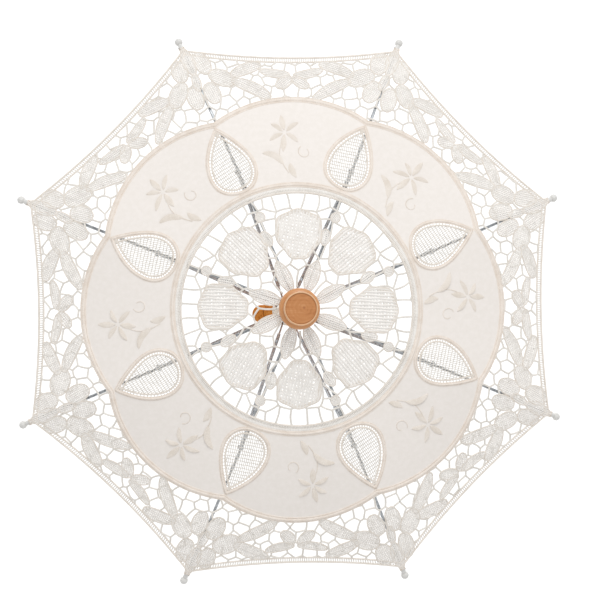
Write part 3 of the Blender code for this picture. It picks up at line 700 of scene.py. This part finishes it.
# %% Finial and grip
def lathe(name, profile, turns=128):
    """A closed solid of revolution: a profile of radius and height, from the top down the outside."""
    radius, height = np.hsplit(np.asarray(profile, float) * MM, 2)
    angle = np.linspace(0, 2 * math.pi, turns, endpoint=False)
    rings = [radius * np.cos(angle), radius * np.sin(angle), np.repeat(height, turns, 1)]
    index = np.arange(len(radius) * turns).reshape(len(radius), turns)
    after = np.roll(index, -1, 1)
    faces = np.stack([index[:-1], index[1:], after[1:], after[:-1]], -1).reshape(-1, 4)
    return mesh_object(name, np.stack(rings, -1), faces)


def curve_through(points, per_span=8):
    """A smooth line through points: each span blends the slopes at its two ends with cubic weights."""
    points = np.asarray(points, float)
    slope = np.gradient(points, axis=0)
    slope[[0, -1]] = points[1] - points[0], points[-1] - points[-2]
    t = np.linspace(0, 1, per_span, endpoint=False)[:, None]
    a, b = points[:-1, None], points[1:, None]
    sa, sb = slope[:-1, None], slope[1:, None]
    ends = (2 * t**3 - 3 * t**2 + 1) * a + (t**3 - 2 * t**2 + t) * sa
    spans = ends + (3 * t**2 - 2 * t**3) * b + (t**3 - t**2) * sb
    return np.concatenate([spans.reshape(-1, 2), points[-1:]])


FINIAL_TOP = 308.4
finial_side = curve_through(
    [(9.9, -0.55), (10.15, -0.9), (10.4, -0.35), (10.8, 0.0), (11.25, -0.3), (11.5, -1.3)]
    + [(11.45, -2.8), (11.1, -4.4), (10.9, -5.8), (11.4, -7.2), (12.8, -8.2), (13.7, -9.5)]
    + [(14.0, -11.2), (13.8, -12.7), (13.2, -13.9)]
)
disc = [(0.0001, -0.55), (4.0, -0.55), (8.0, -0.55), (9.7, -0.55)]
foot = [(13.1, -14.0), (4.7, -14.0)]
finial_profile = np.concatenate([disc, finial_side, foot])
finial = lathe("finial_turned", finial_profile + [0, FINIAL_TOP])
grip_side = curve_through(
    [(6.0, 45), (6.5, 44.3), (6.5, 42.1), (6.0, 41.3), (6.0, 40.1), (6.4, 38), (6.9, 29), (7.2, 15)]
    + [(7.1, 0), (6.7, -15), (6.2, -26), (6.25, -29), (7.0, -32), (7.6, -36), (7.4, -40)]
    + [(6.3, -43.4), (4.5, -44.9)]
)
grip_profile = np.concatenate([[(4.7, 45)], grip_side, [(4.4, -45), (0.0001, -45)]])
grip = lathe("grip_turned", grip_profile, 96)
for piece, node in ((finial, "finial"), (grip, "handle")):
    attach(piece, "stick")
    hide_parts(node)
print("finial points", len(finial_profile))

# %% [markdown]
# ## Paint
# A small class lets shader maths be written as sums: an operator on a value lays a Math node. Wood has
# rings that are seen end-on in the finial, cotton has a fine uneven shade, and the linen a weave too
# fine to see singly.

# %% Shader values and materials
class Value:
    """A shader socket on which + - * / and powers lay Math nodes, and node() lays any other."""

    def __init__(self, tree, socket):
        self.tree, self.socket = tree, socket

    def node(self, kind, settings=None, inputs=None, out=0):
        """Lays a node of a kind, with its settings, and inputs that are values or plain numbers."""
        made = self.tree.nodes.new(kind)
        for key, value in (settings or {}).items():
            setattr(made, key, value)
        for key, value in (inputs or {}).items():
            if isinstance(value, Value):
                self.tree.links.new(value.socket, made.inputs[key])
            else:
                made.inputs[key].default_value = value
        return Value(self.tree, made.outputs[out])

    def maths(self, operation, first, second=0.0):
        """Lays a Math node on one or two values or numbers."""
        return self.node("ShaderNodeMath", {"operation": operation}, {0: first, 1: second})

    def __add__(self, other):
        return self.maths("ADD", self, other)

    def __sub__(self, other):
        return self.maths("SUBTRACT", self, other)

    def __mul__(self, other):
        return self.maths("MULTIPLY", self, other)

    def __truediv__(self, other):
        return self.maths("DIVIDE", self, other)

    def __pow__(self, other):
        return self.maths("POWER", self, other)

    def __rsub__(self, other):
        return self.maths("SUBTRACT", other, self)

    def __rtruediv__(self, other):
        return self.maths("DIVIDE", other, self)

    __radd__, __rmul__ = __add__, __mul__

    def sine(self):
        """The sine of this value."""
        return self.maths("SINE", self)

    def noise(self, scale, detail=3.0, rough=0.55):
        """Smooth noise over this place, at a scale in waves per metre."""
        inputs = {"Vector": self, "Scale": scale, "Detail": detail, "Roughness": rough}
        return self.node("ShaderNodeTexNoise", None, inputs)

    def stretched(self, scale):
        """This place with its three axes scaled."""
        return self.node("ShaderNodeMapping", None, {"Vector": self, "Scale": scale})

    def between(self, low, high, top=1.0, kind="LINEAR"):
        """A share that rises from 0 to top as this value goes from low to high."""
        inputs = {"Value": self, "From Min": low, "From Max": high, "To Max": top}
        return self.node("ShaderNodeMapRange", {"interpolation_type": kind}, inputs)

    def mixed(self, first, second):
        """A colour between two others, by this share."""
        ends = [end if isinstance(end, Value) else (*end, 1.0) for end in (first, second)]
        inputs = {0: self, 6: ends[0], 7: ends[1]}
        return self.node("ShaderNodeMix", {"data_type": "RGBA"}, inputs, 2)

    def ramp(self, *stops):
        """A colour for this value: stops are (position, colour)."""
        colour = stops[0][1]
        for (low, _), (high, light) in zip(stops, stops[1:]):
            colour = self.between(low, high, kind="SMOOTHSTEP").mixed(colour, light)
        return colour

    def bump(self, strength, distance):
        """A surface normal disturbed by this value."""
        inputs = {"Height": self, "Strength": strength, "Distance": distance}
        return self.node("ShaderNodeBump", None, inputs)


def srgb(text):
    """Linear colour of a hex code."""
    parts = np.array([int(text[i : i + 2], 16) for i in (0, 2, 4)]) / 255
    linear = np.where(parts <= 0.04045, parts / 12.92, ((parts + 0.055) / 1.055) ** 2.4)
    return tuple(linear.tolist())


def painted(name, build, **constants):
    """A Principled material: constants go on its sockets, and build(place) returns what varies."""
    made = bpy.data.materials.new(name)
    made.use_nodes = True
    tree = made.node_tree
    shader = tree.nodes["Principled BSDF"]
    for key, value in constants.items():
        shader.inputs[key.replace("_", " ")].default_value = value
    place = Value(tree, tree.nodes.new("ShaderNodeTexCoord").outputs["Object"])
    for key, value in build(place).items():
        tree.links.new(value.socket, shader.inputs[key])
    return made


def axis_parts(place):
    """The three coordinates of a place, as values."""
    split = place.node("ShaderNodeSeparateXYZ", None, {0: place}).socket.node
    return [Value(place.tree, split.outputs[i]) for i in range(3)]


def end_grain(place):
    """Wood on its end: noisy rings about a dark pith beside the middle, with painted highlights: the rim
    lightened all round, and a paler narrow ring on the top.
    """
    x, y, z = axis_parts(place)
    far = ((x - 0.0021) ** 2.0 + (y - 0.0006) ** 2.0) ** 0.5
    rings = (far * 2400.0 + place.noise(260.0) * 9.0).sine() * 0.5 + 0.5
    streak = place.stretched((0.14, 1.0, 1.0)).noise(620.0, 4.0)
    tone = rings * 0.10 + streak * 0.55 + place.noise(90.0) * 0.35
    shade = tone.ramp((0.30, srgb("AC6C38")), (0.50, srgb("BD7E49")), (0.72, srgb("CB9260")))
    shade = far.between(0.0003, 0.0011).mixed(srgb("A4673C"), shade)
    out = (x**2.0 + y**2.0) ** 0.5
    # Painted highlight: the colour is lightened towards DA9F6A out to the rim, all round.
    shade = out.between(0.0098, 0.0125, 0.55).mixed(shade, srgb("DA9F6A"))
    # Painted highlight: a narrow paler ring at a radius of 10.9 mm, only on the top face.
    on_top = z.between(0.3064, 0.3074)
    bead_highlight = on_top * 0.6 / (1.0 + ((out - 0.0109) / 0.0005) ** 4.0)
    shade = bead_highlight.mixed(shade, srgb("EBC8A0"))
    return {"Base Color": shade, "Normal": streak.bump(0.12, 0.0004), "Roughness": tone * 0.12 + 0.34}


def long_grain(place):
    """Wood along its length: streaks stretched along Z."""
    fibre = place.stretched((1.0, 1.0, 0.05))
    streak, broad = fibre.noise(900.0, 5.0), fibre.noise(240.0)
    tone = streak * 0.6 + broad * 0.4
    shade = tone.ramp((0.36, srgb("A05D26")), (0.50, srgb("B97536")), (0.66, srgb("CA8A4B")))
    return {"Base Color": shade, "Normal": streak.bump(0.15, 0.0003), "Roughness": tone * 0.15 + 0.36}


def cotton(dark, light, fine, rise):
    """Cotton: two near shades mixed by noise, with a fuzzy surface of a given fineness and rise."""

    def build(place):
        """The values of this cotton that vary."""
        fuzz = place.noise(fine, 2.0)
        tone = fuzz * 0.5 + place.noise(160.0) * 0.5
        shade = tone.ramp((0.35, srgb(dark)), (0.62, srgb(light)))
        return {"Base Color": shade, "Normal": fuzz.bump(0.5, rise)}

    return build


def woven_linen(place):
    """Linen: a plain weave of fine ribs both ways, faint slubs, and an even pale shade."""
    x, y, _ = axis_parts(place)
    ribbing = (x * 9000.0).sine() * (y * 9000.0).sine()
    slub = place.noise(320.0, 4.0)
    tone = slub * 0.8 + ribbing * 0.06
    shade = tone.ramp((0.25, srgb("E9E3DD")), (0.60, srgb("EDE7E2")))
    return {"Base Color": shade, "Normal": (ribbing * 0.4 + slub).bump(0.10, 0.0003)}


def brushed(dark, light):
    """Plated steel: two shades and a roughness, mixed by fine noise."""

    def build(place):
        """The values of this steel that vary."""
        speckle = place.noise(700.0, 3.0)
        shade = speckle.ramp((0.35, srgb(dark)), (0.65, srgb(light)))
        return {"Base Color": shade, "Roughness": speckle * 0.20 + 0.30}

    return build


def plain(text):
    """One shade with a faint unevenness."""

    def build(place):
        """The colour, and the same a little darker."""
        darker = tuple(0.94 * part for part in srgb(text))
        return {"Base Color": place.noise(120.0).ramp((0.2, darker), (0.8, srgb(text)))}

    return build


def cotton_paint(name, *look, rough=0.9):
    """A cotton material."""
    return painted(name, cotton(*look), Roughness=rough)


paints = {
    "finial": painted("finial wood", end_grain, Coat_Weight=0.25, Coat_Roughness=0.3),
    "stick": painted("stick wood", long_grain, Specular_IOR_Level=0.0),
    "linen": painted("linen", woven_linen, Roughness=0.92),
    "tape": cotton_paint("braid cotton", "E2D6CA", "EDE4DB", 1900.0, 0.0005),
    "leaf": cotton_paint("woven cotton", "E8E4DF", "F3F0EC", 2100.0, 0.0004),
    "edge": cotton_paint("cord cotton", "DDD5CB", "E8E1D9", 2000.0, 0.0005),
    "thread": cotton_paint("thread cotton", "DBD6CF", "E8E4DE", 2300.0, 0.0004),
    "stitch": cotton_paint("stitching cotton", "DDD3C7", "E9E1D8", 2600.0, 0.0004, rough=0.75),
    "steel": painted("plated steel", brushed("85888B", "B0B3B6"), Metallic=1.0),
    # A lighter copy of the frame steel for the stretchers: painted light, to offset the shade that falls
    # on them under the canopy.
    "channel": painted("steel painted lighter against shade", brushed("B0B7BE", "D6DBE0"), Metallic=1.0),
    "moulded": painted("moulded white", plain("E2DDD4"), Roughness=0.45),
    "tip": painted("tip enamel", plain("DAD9D6"), Roughness=0.4),
    "felt": painted("felt pad", plain("D8D0C4"), Roughness=0.95),
}


def paint(piece, name):
    """Gives a piece one material."""
    piece.data.materials.clear()
    piece.data.materials.append(paints[name])


for piece in linens:
    paint(piece, "linen")
for name, by_rib in soft.items():
    for piece in sum(by_rib, []):
        paint(piece, name)
paint(finial, "finial")
paint(grip, "stick")
by_slot = {"stick_wood": "stick", "turned_wood": "stick", "felt": "felt", "cotton_lace": "linen"}
by_slot |= {"frame_steel": "steel", "spring_steel": "steel"}
by_slot |= {"moulded_white": "moulded", "tip_enamel": "tip"}
for subpart in frame["record"]["subparts"]:
    node = subpart["node"]
    # Stretchers take the lighter steel copy, painted light against the shade under the canopy.
    channel = node.startswith("stretcher")
    paint(frame["nodes"][node], "channel" if channel else by_slot[subpart["material_slot"]])
print("paints", sorted(paints))

# %% [markdown]
# ## The rib of each gore
# The linen of each gore is a sheet, held stretched between the ribs; the lace and the stitching go
# with it. The loop below names the rib that holds each gore.

for rib in range(RIBS):
    held_on = [f"rib_{rib + 1}"]

# %% [markdown]
# ## Studio
# The picture looks almost straight down the stick, a few degrees off, so that the grip shows beside
# the finial. A pale floor lies well below, large soft lights leave hardly a shadow, and the background
# burns out to white.

# %% Camera, floor and light
PICTURE, TIP_PIXELS, SENSOR = 600, 297.5, 36  # pixels across, radius of the tip circle in them, mm
FLOOR_HEIGHT, FLOOR_HALF = -0.5, 4
scene = bpy.context.scene
scene.view_settings.view_transform = "Standard"
tilt, bearing, roll = math.radians(5.5), math.radians(187), math.radians(-0.6)
target, distance = Vector((0, 0, 0.262)), 1.25
outward = math.sin(tilt)
back = Vector((outward * math.cos(bearing), outward * math.sin(bearing), math.cos(tilt)))
right = (-back).cross(Vector((0, 1, 0))).normalized()
upward = right.cross(-back)
facing = Matrix((right, upward, back)).transposed() @ Matrix.Rotation(roll, 3, "Z")
camera_data = bpy.data.cameras.new("camera")
camera_data.sensor_width = SENSOR
camera_data.lens = SENSOR * (TIP_PIXELS / TIP_RADIUS) * distance / PICTURE
camera_data.shift_x, camera_data.shift_y = 5.5 / PICTURE, 13.5 / PICTURE
camera = bpy.data.objects.new("camera", camera_data)
camera.matrix_world = Matrix.Translation(target + back * distance) @ facing.to_4x4()
scene.collection.objects.link(camera)
scene.camera = camera

floor_plan = ((-1, -1), (1, -1), (1, 1), (-1, 1))
floor_corners = [(x * FLOOR_HALF, y * FLOOR_HALF, FLOOR_HEIGHT) for x, y in floor_plan]
floor_mesh = bpy.data.meshes.new("floor")
floor_mesh.from_pydata(floor_corners, [], [(0, 1, 2, 3)])
floor = bpy.data.objects.new("floor", floor_mesh)
scene.collection.objects.link(floor)
glow = {"Emission_Color": (1, 1, 1, 1), "Emission_Strength": 0.22}
floor_mesh.materials.append(painted("floor", plain("FFFFFF"), Roughness=0.9, **glow))


def lamp(name, place, aim, size, power):
    """A square area light at a place, turned to an aim."""
    data = bpy.data.lights.new(name, "AREA")
    data.size, data.energy = size, power
    made = bpy.data.objects.new(name, data)
    made.location = place
    made.rotation_euler = (Vector(aim) - Vector(place)).to_track_quat("-Z", "Y").to_euler()
    scene.collection.objects.link(made)


lamp("key", (0.1, 2.0, 1.9), (0, 0, 0.25), 1.6, 36)
lamp("fill", (0.3, -1.6, 2.2), (0, 0, 0.25), 2.0, 11)
lamp("below", (0, 0, -0.45), (0, 0, 1), 2.5, 7)
scene.world = bpy.data.worlds.new("studio")
scene.world.use_nodes = True
sky = scene.world.node_tree.nodes["Background"]
sky.inputs["Color"].default_value = (1, 1, 1, 1)
sky.inputs["Strength"].default_value = 0.62
print("lens", round(camera_data.lens, 2))
